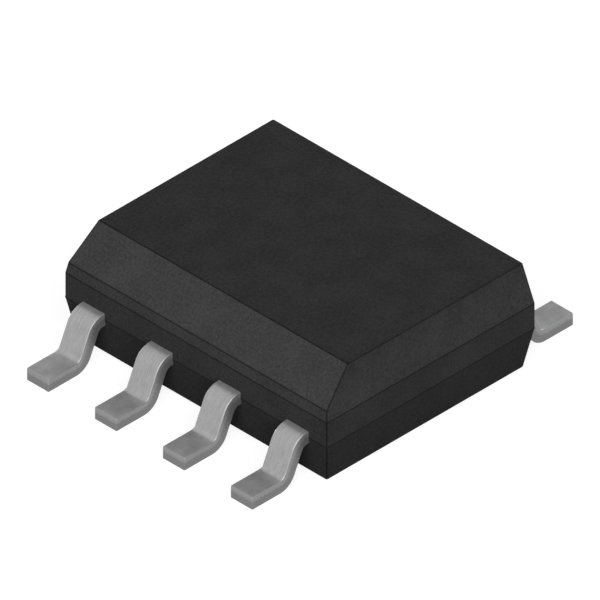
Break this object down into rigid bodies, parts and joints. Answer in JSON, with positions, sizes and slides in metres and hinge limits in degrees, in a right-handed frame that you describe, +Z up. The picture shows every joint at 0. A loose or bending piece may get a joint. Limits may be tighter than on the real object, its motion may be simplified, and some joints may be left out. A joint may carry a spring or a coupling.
{
  "type": "flash memory chip",
  "caption": "Surface-mount memory chip: a black moulded body with a bevelled edge, gull-wing leads along its long sides, and a die, lead frame and bond wires inside.",
  "frame": {"origin": "centre of the seating plane, under the middle of the body, level with the undersides of the feet", "axes": "+X across the rows of leads, towards pins 5 to 8, +Y along the body, towards pins 1 and 8, +Z up, away from the board; the bevelled edge and pins 1 to 4 are on the -X side"},
  "size_m": [0.006, 0.005, 0.0017],
  "materials": {
    "moulding_compound": "fine matte, as eroded mould steel leaves it",
    "tin_plate": "matte tin plate over copper alloy",
    "copper_alloy": "bare rolled copper alloy, silver plated under the die",
    "silver_epoxy": "cured silver-filled epoxy",
    "silicon": "polished silicon under a passivation layer",
    "gold_wire": "drawn gold"
  },
  "bodies": {
    "root": {"mould_body": "moulding_compound", "lead_1": "tin_plate", "lead_2": "tin_plate", "lead_3": "tin_plate", "lead_4": "tin_plate", "lead_5": "tin_plate", "lead_6": "tin_plate", "lead_7": "tin_plate", "lead_8": "tin_plate", "die_paddle": "copper_alloy", "die_attach": "silver_epoxy", "memory_die": "silicon", "bond_wire_1": "gold_wire", "bond_wire_2": "gold_wire", "bond_wire_3": "gold_wire", "bond_wire_4": "gold_wire", "bond_wire_5": "gold_wire", "bond_wire_6": "gold_wire", "bond_wire_7": "gold_wire", "bond_wire_8": "gold_wire"}
  },
  "joints": []
}
